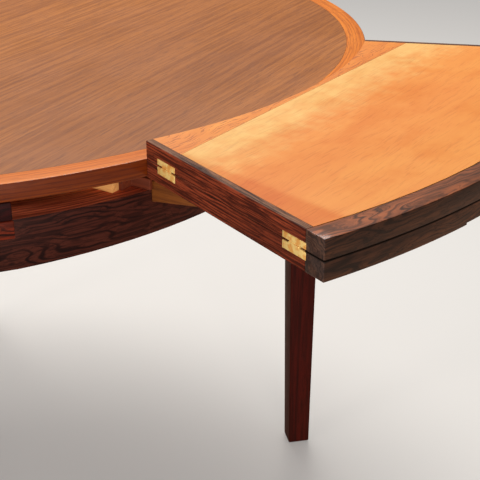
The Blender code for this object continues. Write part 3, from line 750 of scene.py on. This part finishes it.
class Piece:
    """A piece under construction, shaped with Blender's own tools."""

    def __init__(self, name: str, thing: bpy.types.Object) -> None:
        """Name the object that was just added.

        Args:
            name: Name of the piece.
            thing: Object that carries its mesh.
        """
        self.thing = thing
        thing.name = name
        thing.data.name = name

    @staticmethod
    def deselect() -> None:
        """Deselect every object."""
        bpy.ops.object.select_all(action="DESELECT")

    @classmethod
    def block(cls, name: str, low: Sequence[float], high: Sequence[float]) -> "Piece":
        """Start from a block between two corners.

        Args:
            name: Name of the piece.
            low: Lowest corner.
            high: Highest corner.

        Returns:
            The piece.
        """
        cls.deselect()
        middle = [(a + b) / 2 for a, b in zip(low, high)]
        bpy.ops.mesh.primitive_cube_add(size=1.0, location=middle)
        piece = cls(name, bpy.context.object)
        piece.thing.scale = [b - a for a, b in zip(low, high)]
        piece.settle()
        return piece

    @classmethod
    def disc(cls, name: str, radius: float, low: float, high: float, sides: int = 48) -> "Piece":
        """Start from an upright round block on the Z axis.

        Args:
            name: Name of the piece.
            radius: Its radius.
            low: Its lower end.
            high: Its upper end.
            sides: Number of its sides.

        Returns:
            The piece.
        """
        cls.deselect()
        bpy.ops.mesh.primitive_cylinder_add(
            vertices=sides, radius=radius, depth=high - low, location=(0, 0, (low + high) / 2))
        piece = cls(name, bpy.context.object)
        piece.settle()
        return piece

    @classmethod
    def merged(cls, name: str, node: str) -> "Piece":
        """Start from a copy of a solid, with its loose triangles merged.

        Args:
            name: Name of the piece.
            node: Name of the solid.

        Returns:
            The piece.
        """
        cls.deselect()
        thing = bpy.data.objects.new(name, NODES[node].data.copy())
        thing.data.transform(NODES[node].matrix_world)
        bpy.context.scene.collection.objects.link(thing)
        piece = cls(name, thing)
        thing.data.materials.clear()
        with piece.editing():
            bpy.ops.mesh.select_all(action="SELECT")
            bpy.ops.mesh.remove_doubles(threshold=MERGE_DISTANCE)
            bpy.ops.mesh.dissolve_limited(angle_limit=FLAT_ANGLE)
            bpy.ops.mesh.normals_make_consistent(inside=False)
        return piece

    def editing(self) -> "Editing":
        """Edit mode on this piece, for use with a with statement."""
        return Editing(self.thing)

    def take(self) -> None:
        """Select this piece alone and make it active."""
        self.deselect()
        self.thing.select_set(True)
        bpy.context.view_layer.objects.active = self.thing

    def settle(self) -> "Piece":
        """Carry the object's place, turn and scale into its mesh.

        Returns:
            The piece.
        """
        self.take()
        bpy.ops.object.transform_apply(location=True, rotation=True, scale=True)
        return self

    def moved(self, matrix: Matrix) -> "Piece":
        """Move the mesh by a matrix; a mirrored one gets its faces turned back.

        Args:
            matrix: Where the mesh goes.

        Returns:
            The piece.
        """
        self.thing.data.transform(matrix)
        if matrix.determinant() < 0:
            self.thing.data.flip_normals()
        return self

    def copy(self, name: str, matrix: Matrix = Matrix()) -> "Piece":
        """Copy of the piece with its own mesh.

        Args:
            name: Name of the copy.
            matrix: Where the copy goes.

        Returns:
            The copy.
        """
        thing = self.thing.copy()
        thing.data = self.thing.data.copy()
        bpy.context.scene.collection.objects.link(thing)
        return Piece(name, thing).moved(matrix)

    def apply(self, kind: str, **settings: object) -> "Piece":
        """Add a modifier and apply it.

        Args:
            kind: Blender's type name of the modifier.
            settings: Its properties.

        Returns:
            The piece.
        """
        self.take()
        modifier = self.thing.modifiers.new(kind.lower(), kind)
        for key, value in settings.items():
            setattr(modifier, key, value)
        bpy.ops.object.modifier_apply(modifier=modifier.name)
        return self

    def eased(self, width: float, segments: int = 2, angle: float = 40.0) -> "Piece":
        """Round the edges that turn by more than an angle, in degrees."""
        return self.apply("BEVEL", width=width, segments=segments, limit_method="ANGLE",
                          angle_limit=math.radians(angle), harden_normals=False)

    def joined(self, other: "Piece", operation: str) -> "Piece":
        """Combine with another piece, which is used up.

        Args:
            other: The other piece.
            operation: DIFFERENCE to cut it away, or UNION to add it.

        Returns:
            The piece.
        """
        self.apply("BOOLEAN", operation=operation, solver="EXACT", object=other.thing)
        other.remove()
        return self

    def smooth(self) -> "Piece":
        """Shade smooth, except across corners.

        Returns:
            The piece.
        """
        self.take()
        bpy.ops.object.shade_smooth_by_angle(angle=SMOOTH_ANGLE)
        return self

    def finish(self, material: bpy.types.Material, slot: str, body: str, *nodes: str) -> "Piece":
        """Dress the piece, hang it on its body and let it stand for its solids.

        Args:
            material: Its finish.
            slot: Its material slot in the record; not used.
            body: Body that it rides on.
            nodes: Solids that it replaces.

        Returns:
            The piece.
        """
        self.thing.data.materials.clear()
        self.thing.data.materials.append(material)
        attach(self.thing, body)
        if nodes:
            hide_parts(*nodes)
        LOG.info("%s on %s, %d faces", self.thing.name, body, len(self.thing.data.polygons))
        return self

    def remove(self) -> None:
        """Remove a pattern or a helper that has done its work."""
        bpy.data.objects.remove(self.thing)


class Editing:
    """Edit mode on one object, with everything deselected at its start."""

    def __init__(self, thing: bpy.types.Object) -> None:
        """Keep the object."""
        self.thing = thing

    def __enter__(self) -> "Editing":
        """Enter edit mode.

        Returns:
            This helper, which picks faces and edges.
        """
        Piece.deselect()
        self.thing.select_set(True)
        bpy.context.view_layer.objects.active = self.thing
        bpy.ops.object.mode_set(mode="EDIT")
        bpy.ops.mesh.select_mode(type="FACE")
        bpy.ops.mesh.select_all(action="DESELECT")
        return self

    def __exit__(self, *_: object) -> None:
        """Leave edit mode."""
        bpy.ops.object.mode_set(mode="OBJECT")

    def faces(self, test: Callable[[Vector, Vector], bool]) -> None:
        """Select the faces that a test picks.

        Args:
            test: Says whether a face's centre and normal make it wanted.
        """
        bpy.ops.mesh.select_mode(type="FACE")
        mesh = bmesh.from_edit_mesh(self.thing.data)
        for face in mesh.faces:
            face.select_set(test(face.calc_center_median(), face.normal))
        bmesh.update_edit_mesh(self.thing.data)

    def edges(self, test: Callable[[Vector, Vector], bool]) -> None:
        """Select the edges that a test picks.

        Args:
            test: Says whether an edge's two ends make it wanted.
        """
        bpy.ops.mesh.select_mode(type="EDGE")
        mesh = bmesh.from_edit_mesh(self.thing.data)
        for edge in mesh.edges:
            edge.select_set(test(edge.verts[0].co, edge.verts[1].co))
        bmesh.update_edit_mesh(self.thing.data)

    def points(self, test: Callable[[Vector], bool]) -> None:
        """Select the points that a test picks.

        Args:
            test: Says whether a point's place makes it wanted.
        """
        bpy.ops.mesh.select_mode(type="VERT")
        mesh = bmesh.from_edit_mesh(self.thing.data)
        for point in mesh.verts:
            point.select_set(test(point.co))
        bmesh.update_edit_mesh(self.thing.data)


@dataclass(frozen=True)
class RimBar:
    """A bar that is spun round the Z axis, with an arris on its outer and its inner corners."""

    inner: float
    outer: float
    low: float
    high: float
    start: float = 0.0
    sweep: float = math.tau
    steps: int = 256
    arris: float = 0.0012
    inner_arris: float = 0.0

    def build(self, name: str) -> Piece:
        """Spin the bar's rounded section.

        Args:
            name: Name of the piece.

        Returns:
            The piece, which is closed.
        """
        Piece.deselect()
        bpy.ops.mesh.primitive_plane_add(size=1.0, rotation=(QUARTER, 0, 0))
        piece = Piece(name, bpy.context.object)
        middle = (self.inner + self.outer) / 2
        piece.thing.scale = (self.outer - self.inner, self.high - self.low, 1.0)
        piece.thing.location = (middle, 0, (self.low + self.high) / 2)
        piece.settle()
        with piece.editing() as edit:
            edit.points(lambda point: point.x > middle)
            bpy.ops.mesh.bevel(offset=self.arris, segments=4, affect="VERTICES")
            if self.inner_arris:
                edit.points(lambda point: point.x < middle)
                bpy.ops.mesh.bevel(offset=self.inner_arris, segments=3, affect="VERTICES")
        piece.moved(Matrix.Rotation(self.start, 4, "Z"))
        with piece.editing() as edit:
            bpy.ops.mesh.select_all(action="SELECT")
            bpy.ops.mesh.spin(steps=self.steps, angle=-self.sweep, center=ORIGIN, axis=(0, 0, 1))
            if self.sweep == math.tau:
                across = Vector((math.sin(self.start), -math.cos(self.start), 0))
                edit.faces(lambda centre, normal: abs(normal.dot(across)) > ALIGNED
                           and abs(centre.dot(across)) < SEAM_REACH)
                bpy.ops.mesh.delete(type="ONLY_FACE")
            bpy.ops.mesh.select_all(action="SELECT")
            bpy.ops.mesh.remove_doubles(threshold=MERGE_DISTANCE)
            bpy.ops.mesh.fill_holes(sides=0)
            bpy.ops.mesh.normals_make_consistent(inside=False)
        return piece


# The round top

@dataclass
class RoundTop:
    """The loose round top with its lipping and its two pegs."""

    seat: float = TOP_RADIUS - LIPPING_WIDTH - TOUCH_GAP / 2
    arris: float = 0.0013

    def build(self) -> None:
        """Make the lipping and dress the panel and the pegs."""
        bar = RimBar(self.seat, TOP_RADIUS, HEIGHT - TOP_THICKNESS, HEIGHT, arris=self.arris)
        lipping = bar.build("round_top_lipping").moved(Matrix.Translation(AXIS)).smooth()
        lipping.finish(FINISHES.top_lipping.material(), "top_lipping", "top", "top_lipping")
        dress("top_panel", FINISHES.top_veneer.material())
        for side in ("left", "right"):
            dress(f"peg_{side}", FINISHES.peg.material())


def dress(node: str, material: bpy.types.Material) -> None:
    """Give a solid that stays its finish.

    Args:
        node: Name of the solid.
        material: Its finish.
    """
    thing = NODES[node]
    thing.data.materials.clear()
    thing.data.materials.append(material)
    LOG.info("%s dressed", node)


# The frame under the top

@dataclass
class Underframe:
    """Apron, corner boards, legs, bridge and guides."""

    leg_centre: float = 0.53855
    leg_head: float = 0.0495
    leg_foot: float = 0.035
    leg_top: float = 0.6878
    leg_arris: float = 0.0022
    foot_inset: float = 0.0008
    foot_drop: float = 0.0004
    glide_radius: float = 0.0095
    glide_height: float = 0.003
    glide_socket: float = 0.0006
    glide_arris: float = 0.0010
    arris: float = 0.0006
    board_arris: float = 0.0009
    board_angle: float = 35.0

    def build(self) -> None:
        """Make every piece of the frame."""
        self.apron()
        self.corners()
        self.legs()
        self.mechanism()

    def apron(self) -> None:
        """The round apron, smooth over its facets."""
        piece = Piece.merged("round_apron", "apron").eased(self.arris, angle=self.board_angle).smooth()
        piece.finish(FINISHES.apron.material(), "apron", "frame", "apron")

    def corners(self) -> None:
        """The two boards over each leg."""
        for number in range(1, 5):
            for level in ("upper", "lower"):
                node = f"corner_{level}_{number}"
                piece = Piece.merged(f"{node}_board", node).eased(self.board_arris, angle=self.board_angle)
                finish = FINISHES.corner_upper if level == "upper" else FINISHES.corner_lower
                piece.smooth().finish(finish.material(), "corner_block", "frame", node)

    def legs(self) -> None:
        """The tapered legs, each on a small pale glide."""
        head = self.leg_head / 2
        pattern = Piece.block("leg_pattern", (-head, -head, self.glide_height), (head, head, self.leg_top))
        with pattern.editing() as edit:
            edit.faces(lambda centre, normal: normal.z < -0.5)
            share = self.leg_foot / self.leg_head
            bpy.ops.transform.resize(value=(share, share, 1.0), center_override=ORIGIN)
            edit.edges(lambda a, b: abs(a.z - b.z) > self.leg_top / 2)
            bpy.ops.mesh.bevel(offset=self.leg_arris, segments=4)
            edit.faces(lambda centre, normal: normal.z < -0.5)
            bpy.ops.mesh.inset(thickness=self.foot_inset)
            bpy.ops.transform.translate(value=(0, 0, -self.foot_drop))
        pattern.smooth()
        glide = Piece.disc("glide_pattern", self.glide_radius, 0.0, self.glide_height + self.glide_socket, 32)
        glide.eased(self.glide_arris, 3).smooth()
        for number in range(1, 5):
            turn = QUARTER * (number - 1.5)
            spot = Vector((math.sin(turn), -math.cos(turn), 0)) * self.leg_centre + AXIS
            place = Matrix.Translation(spot) @ Matrix.Rotation(turn, 4, "Z")
            seat = Seat(f"{number}", tuple(spot), turn + QUARTER / 2)
            leg = pattern.copy(f"tapered_leg_{number}", place)
            leg.finish(FINISHES.leg.material(seat), "leg", "frame", f"leg_{number}")
            foot = glide.copy(f"glide_{number}", place)
            foot.finish(FINISHES.guide_board.material(), "guide_board", "frame")
        pattern.remove()
        glide.remove()

    def mechanism(self) -> None:
        """The bridge and the guides that the leaves run in."""
        piece = Piece.merged("centre_bridge", "bridge").eased(self.arris, angle=self.board_angle).smooth()
        piece.finish(FINISHES.bridge.material(), "bridge", "frame", "bridge")
        guides = {"bearer_guide": FINISHES.guide_block, "guide_board": FINISHES.guide_board}
        for number, letter in enumerate(LEAF_LETTERS):
            seat = Seat(letter, tuple(AXIS), QUARTER * number)
            for kind, finish in guides.items():
                node = f"{kind}_{letter}"
                piece = Piece.merged(f"{node}_piece", node).eased(self.arris, angle=self.board_angle)
                piece.smooth().finish(finish.material(seat), finish.name, "frame", node)


# The leaves

@dataclass(frozen=True)
class Hinge:
    """A small brass hinge let into the side of both boards."""

    half: float = 0.016
    web_half: float = 0.0066
    below: float = 0.0085
    above: float = 0.0070
    slot: float = 0.0012
    seam: float = 0.00008
    face: float = SIDE_GAP - 0.00015
    back: float = SIDE_GAP + 0.0020
    plate_arris: float = 0.00018
    pin_radius: float = 0.00062
    pin_arris: float = 0.00010
    knuckle_half: float = 0.0023
    knuckle_gap: float = 0.0001
    recess_overrun: float = 0.0015
    radii: tuple[float, float] = (LEAF_INNER + 0.0368, LEAF_OUTER - 0.0394)

    def place(self, radius: float) -> Matrix:
        """Frame of a hinge: X outward on its axis, Y into the board.

        Args:
            radius: Distance of the hinge's middle from the table's axis.

        Returns:
            The frame in the leaf's own frame.
        """
        x, y = -radius * math.sin(HALF_ANGLE), -radius * math.cos(HALF_ANGLE)
        return Matrix.Translation((x, y, HINGE_HEIGHT)) @ Matrix.Rotation(math.atan2(y, x), 4, "Z")

    def half_plate(self, name: str, up: bool) -> Piece:
        """Plate of one board with its share of the web and of the pin.

        Args:
            name: Name of the piece.
            up: Whether it belongs to the upper board.

        Returns:
            The piece, in the hinge's own frame.
        """
        reach = self.above if up else self.below
        piece = Piece.block(name, (-self.half, self.face, self.slot), (self.half, self.back, reach))
        with piece.editing() as edit:
            for side in (-1, 1):
                bpy.ops.mesh.select_all(action="SELECT")
                bpy.ops.mesh.bisect(plane_co=(side * self.web_half, 0, 0), plane_no=(1, 0, 0))
            edit.faces(lambda centre, normal: normal.z < -0.5 and abs(centre.x) < self.web_half)
            bpy.ops.mesh.extrude_region_move(TRANSFORM_OT_translate={"value": (0, 0, self.seam - self.slot)})
        piece.eased(self.plate_arris)
        inner = self.knuckle_half
        outer = inner + self.knuckle_gap
        spans = ((-self.web_half, -outer), (outer, self.web_half)) if up else ((-inner, inner),)
        for start, end in spans:
            piece.joined(self.knuckle(start, end), "UNION")
        if not up:
            piece.moved(Matrix.Scale(-1, 4, (0, 0, 1)))
        return piece.smooth()

    def knuckle(self, start: float, end: float) -> Piece:
        """Short round knuckle on the hinge's axis.

        Args:
            start: Where it starts along the axis.
            end: Where it ends.

        Returns:
            The piece.
        """
        rod = Piece.disc("knuckle", self.pin_radius, start, end, 16)
        rod.moved(Matrix.Rotation(QUARTER, 4, "Y"))
        return rod.eased(self.pin_arris, 1)

    def recess(self) -> Piece:
        """Cutter for the hinge's recess in a side strip.

        Returns:
            The piece, in the hinge's own frame.
        """
        low = (-self.half - TOUCH_GAP, SIDE_GAP - self.recess_overrun, -self.below - TOUCH_GAP)
        high = (self.half + TOUCH_GAP, self.back + TOUCH_GAP, self.above + TOUCH_GAP)
        return Piece.block("recess", low, high)


@dataclass
class LeafSet:
    """The four double leaves, modelled once and copied to their places."""

    hinge: Hinge = field(default_factory=Hinge)
    arris: float = 0.0011
    strip_setback: float = 0.0001
    bearer_arris: float = 0.0008
    bearer_angle: float = 25.0
    pull_depth: float = 0.012
    pull_height: float = 0.0025
    pull_half_angle: float = math.radians(11)
    pull_arris: float = 0.0005
    pull_inner_arris: float = 0.0008

    def build(self) -> None:
        """Model the patterns, copy them to every leaf and remove them."""
        levels = {"lower": (LOWER_BOTTOM, HEIGHT), "upper": (UPPER_BOTTOM, UPPER_BOTTOM + BOARD_THICKNESS)}
        patterns = {level: self.board(level, *heights) for level, heights in levels.items()}
        halves = {level: self.hinge.half_plate(f"hinge_{level}", level == "upper") for level in levels}
        for number, letter in enumerate(LEAF_LETTERS):
            turn = QUARTER * number
            spin = Matrix.Rotation(turn, 4, "Z")
            slide = Vector((0, 0, 0)) if letter == "a" else spin @ Vector((0, TRAVEL, -RISE))
            place = Matrix.Translation(AXIS + slide) @ spin
            seat = Seat(letter, tuple(AXIS + slide), turn)
            for level, pieces in patterns.items():
                node = f"leaf_{letter}_{level}_lipping"
                for kind, piece in pieces.items():
                    finish = getattr(FINISHES, kind.removesuffix("_left").removesuffix("_right"))
                    copy = piece.copy(f"leaf_{letter}_{level}_{kind}", place)
                    copy.finish(finish.material(seat), "leaf_lipping", body_of(letter, level), node)
                dress(f"leaf_{letter}_{level}_panel", FINISHES.leaf_panel.material(seat))
            self.bearers(letter, seat)
            self.hinges(letter, place, halves)
        for pieces in (*patterns.values(), halves):
            for piece in pieces.values():
                piece.remove()

    def board(self, level: str, low: float, high: float) -> dict[str, Piece]:
        """Edging of one board, in the frame of a leaf drawn out to -Y.

        Args:
            level: Name of the board.
            low: Its lower face.
            high: Its upper face.

        Returns:
            The pieces by the name of their finish, with the side where there are two.
        """
        left = self.side_strip(f"{level}_strip_left", low, high)
        right = self.plain_strip(f"{level}_strip_right", low, high).moved(Matrix.Scale(-1, 4, (1, 0, 0)))
        return {
            "outer_lipping": self.outer_lipping(level, low, high),
            "side_strip_left": left.smooth(),
            "side_strip_right": right.smooth(),
            "inner_band": self.inner_band(f"{level}_band", low, high),
        }

    def outer_lipping(self, level: str, low: float, high: float) -> Piece:
        """Curved bar along a board's outer edge; the lower one has a finger pull.

        Args:
            level: Name of the board.
            low: Its lower face.
            high: Its upper face.

        Returns:
            The piece.
        """
        sweep = 2 * (HALF_ANGLE - math.asin(SIDE_GAP / LEAF_OUTER))
        start = -QUARTER - sweep / 2
        bar = RimBar(LEAF_OUTER - LIPPING_WIDTH, LEAF_OUTER, low, high, start, sweep, 48, self.arris)
        piece = bar.build(f"{level}_outer").eased(self.arris, 3)
        if level == "lower":
            start = -QUARTER - self.pull_half_angle
            pull = RimBar(LEAF_OUTER - self.pull_depth, LEAF_OUTER + CUT_OVERRUN, low - CUT_OVERRUN,
                          low + self.pull_height, start, 2 * self.pull_half_angle, 24,
                          self.pull_arris, self.pull_inner_arris)
            piece.joined(pull.build("pull"), "DIFFERENCE")
        return piece.smooth()

    def plain_strip(self, name: str, low: float, high: float) -> Piece:
        """Strip along a board's left side, without the hinges.

        Args:
            name: Name of the piece.
            low: Its lower face.
            high: Its upper face.

        Returns:
            The piece, with soft arrises along its outer face and up its inner end.
        """
        inner = LEAF_INNER + self.strip_setback
        outer = LEAF_OUTER - LIPPING_WIDTH
        piece = Piece.block(name, (inner, SIDE_GAP, low), (outer, SIDE_STRIP_WIDTH, high))
        middle = Vector(((inner + outer) / 2, (SIDE_GAP + SIDE_STRIP_WIDTH) / 2, 0.0))
        upright = BOARD_THICKNESS / 2
        with piece.editing() as edit:
            edit.edges(lambda a, b: max(a.y, b.y) < middle.y and abs(a.z - b.z) < upright)
            bpy.ops.mesh.bevel(offset=self.arris, segments=3)
            edit.edges(lambda a, b: max(a.x, b.x) < middle.x and abs(a.z - b.z) > upright)
            bpy.ops.mesh.bevel(offset=self.arris, segments=3)
        return piece.moved(Matrix.Rotation(-QUARTER - HALF_ANGLE, 4, "Z"))

    def side_strip(self, name: str, low: float, high: float) -> Piece:
        """Strip along a board's left side, recessed for the hinges.

        Args:
            name: Name of the piece.
            low: Its lower face.
            high: Its upper face.

        Returns:
            The piece.
        """
        piece = self.plain_strip(name, low, high)
        for radius in self.hinge.radii:
            piece.joined(self.hinge.recess().moved(self.hinge.place(radius)), "DIFFERENCE")
        return piece

    def inner_band(self, name: str, low: float, high: float) -> Piece:
        """Band between a board's veneer and the round top's rim.

        Args:
            name: Name of the piece.
            low: Its lower face.
            high: Its upper face.

        Returns:
            The piece.
        """
        near = LEAF_INNER + INNER_BAND_WIDTH
        wide = near * math.tan(HALF_ANGLE)
        back = LEAF_INNER * math.cos(HALF_ANGLE) - CUT_OVERRUN
        piece = Piece.block(name, (-wide, -near, low), (wide, -back, high))
        piece.joined(Piece.disc("rim", LEAF_INNER, low - CUT_OVERRUN, high + CUT_OVERRUN, 512), "DIFFERENCE")
        with piece.editing():
            for side in (-1, 1):
                normal = (side * math.cos(HALF_ANGLE), math.sin(HALF_ANGLE), 0)
                bpy.ops.mesh.select_all(action="SELECT")
                point = tuple(-SIDE_STRIP_WIDTH * part for part in normal)
                bpy.ops.mesh.bisect(plane_co=point, plane_no=normal, use_fill=True, clear_outer=True)
            bpy.ops.mesh.select_all(action="SELECT")
            bpy.ops.mesh.normals_make_consistent(inside=False)
        return piece.smooth()

    def bearers(self, letter: str, seat: Seat) -> None:
        """The two bearers that carry a leaf.

        Args:
            letter: Letter of the leaf.
            seat: Where the leaf lies.
        """
        for side in ("left", "right"):
            node = f"leaf_{letter}_bearer_{side}"
            piece = Piece.merged(f"leaf_{letter}_{side}_bearer", node)
            piece.eased(self.bearer_arris, angle=self.bearer_angle).smooth()
            piece.finish(FINISHES.bearer.material(seat), "bearer", f"leaf_{letter}", node)

    def hinges(self, letter: str, place: Matrix, halves: dict[str, Piece]) -> None:
        """The brass hinges on a leaf's left side.

        Args:
            letter: Letter of the leaf.
            place: Frame of the leaf.
            halves: Pattern of each half, by the board that carries it.
        """
        for number, radius in enumerate(self.hinge.radii, start=1):
            for level, half in halves.items():
                node = f"leaf_a_hinge_{level}_{number}" if letter == "a" else f"leaf_{letter}_hinge_{number}"
                piece = half.copy(f"leaf_{letter}_brass_{level}_{number}", place @ self.hinge.place(radius))
                piece.finish(FINISHES.brass.material(), "brass", body_of(letter, level), node)


# The studio

@dataclass(frozen=True)
class Lamp:
    """A soft square lamp that looks at the table."""

    name: str
    place: Point
    size: float
    power: float
    colour: Colour
    spread: float = math.pi

    def hang(self, target: Vector) -> None:
        """Add the lamp to the scene.

        Args:
            target: Point that it looks at.
        """
        data = bpy.data.lights.new(self.name, "AREA")
        data.shape = "SQUARE"
        data.size = self.size
        data.energy = self.power
        data.color = self.colour
        data.spread = self.spread
        thing = bpy.data.objects.new(self.name, data)
        bpy.context.scene.collection.objects.link(thing)
        thing.location = self.place
        thing.rotation_euler = (Vector(self.place) - target).to_track_quat("Z", "Y").to_euler()


@dataclass(frozen=True)
class Surround:
    """Colours of what lies round the table, by the kind of ray that meets it."""

    seen: Colour
    mirrored: Colour
    lighting: Colour
    glow: Colour = (0.0, 0.0, 0.0)

    def colour(self, sheet: NodeSheet) -> Socket:
        """Colour for each kind of ray.

        Args:
            sheet: Tree of the material or world.

        Returns:
            The colour's socket.
        """
        path = sheet.add("ShaderNodeLightPath")
        away = sheet.mix(path.outputs["Is Glossy Ray"], self.lighting, self.mirrored)
        return sheet.mix(path.outputs["Is Camera Ray"], away, self.seen)


@dataclass
class Studio:
    """Camera, floor and light of a plain studio."""

    camera_place: Point = (-1.029, -1.0488, 1.1251)
    yaw: float = math.radians(56.765)
    pitch: float = math.radians(24.685)
    roll: float = math.radians(0.088)
    lens: float = 83.25
    sensor: float = 36.0
    target: Point = (0.0, -0.1, 0.65)
    floor_size: float = 40.0
    floor_look: Surround = Surround(
        seen=(0.60, 0.585, 0.56), mirrored=(0.52, 0.42, 0.32), lighting=(0.40, 0.37, 0.34),
        glow=(0.19, 0.186, 0.18))
    sky_look: Surround = Surround(
        seen=(0.56, 0.55, 0.54), mirrored=(0.20, 0.14, 0.10), lighting=(0.34, 0.34, 0.35))
    lamps: tuple[Lamp, ...] = (
        Lamp("key", (1.1, 0.9, 3.3), 1.8, 102.0, (1.0, 0.97, 0.93)),
        Lamp("fill", (-3.5, -3.9, 0.85), 1.5, 22.0, (1.0, 0.96, 0.90), math.radians(70)),
        Lamp("side", (-4.6, 1.3, 0.80), 1.3, 10.0, (1.0, 0.95, 0.88), math.radians(70)))

    def build(self) -> None:
        """Set up the studio."""
        bpy.context.scene.view_settings.view_transform = "Standard"
        self.camera()
        self.floor()
        self.world()
        for lamp in self.lamps:
            lamp.hang(Vector(self.target))

    def camera(self) -> None:
        """The camera, where it stood for the photograph."""
        scene = bpy.context.scene
        data = bpy.data.cameras.new("camera")
        data.lens = self.lens
        data.sensor_width = self.sensor
        camera = bpy.data.objects.new("camera", data)
        scene.collection.objects.link(camera)
        camera.location = self.camera_place
        camera.rotation_euler = Euler((QUARTER - self.pitch, self.roll, -self.yaw), "XYZ")
        scene.camera = camera

    def floor(self) -> None:
        """A plain pale floor, which gives back less light than it shows."""
        Piece.deselect()
        bpy.ops.mesh.primitive_plane_add(size=self.floor_size)
        floor = Piece("floor", bpy.context.object)
        material = bpy.data.materials.new("pale_floor")
        material.use_nodes = True
        sheet = NodeSheet(material.node_tree)
        shader = material.node_tree.nodes["Principled BSDF"]
        look = self.floor_look
        sheet.feed(shader.inputs["Base Color"], look.colour(sheet))
        seen = sheet.add("ShaderNodeLightPath").outputs["Is Camera Ray"]
        sheet.feed(shader.inputs["Emission Color"], sheet.mix(seen, (0.0, 0.0, 0.0), look.glow))
        shader.inputs["Emission Strength"].default_value = 1.0
        shader.inputs["Roughness"].default_value = 0.8
        floor.thing.data.materials.append(material)

    def world(self) -> None:
        """Even pale light from all round."""
        world = bpy.data.worlds.new("studio")
        world.use_nodes = True
        sheet = NodeSheet(world.node_tree)
        background = world.node_tree.nodes["Background"]
        sheet.feed(background.inputs["Color"], self.sky_look.colour(sheet))
        background.inputs["Strength"].default_value = 1.0
        bpy.context.scene.world = world


def main() -> None:
    """Build every sub-assembly in order."""
    logging.basicConfig(level=logging.INFO, format="%(name)s: %(message)s")
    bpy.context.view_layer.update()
    for part in (RoundTop(), Underframe(), LeafSet(), Studio()):
        part.build()
        LOG.info("%s done", type(part).__name__)


if __name__ == "__main__":
    main()
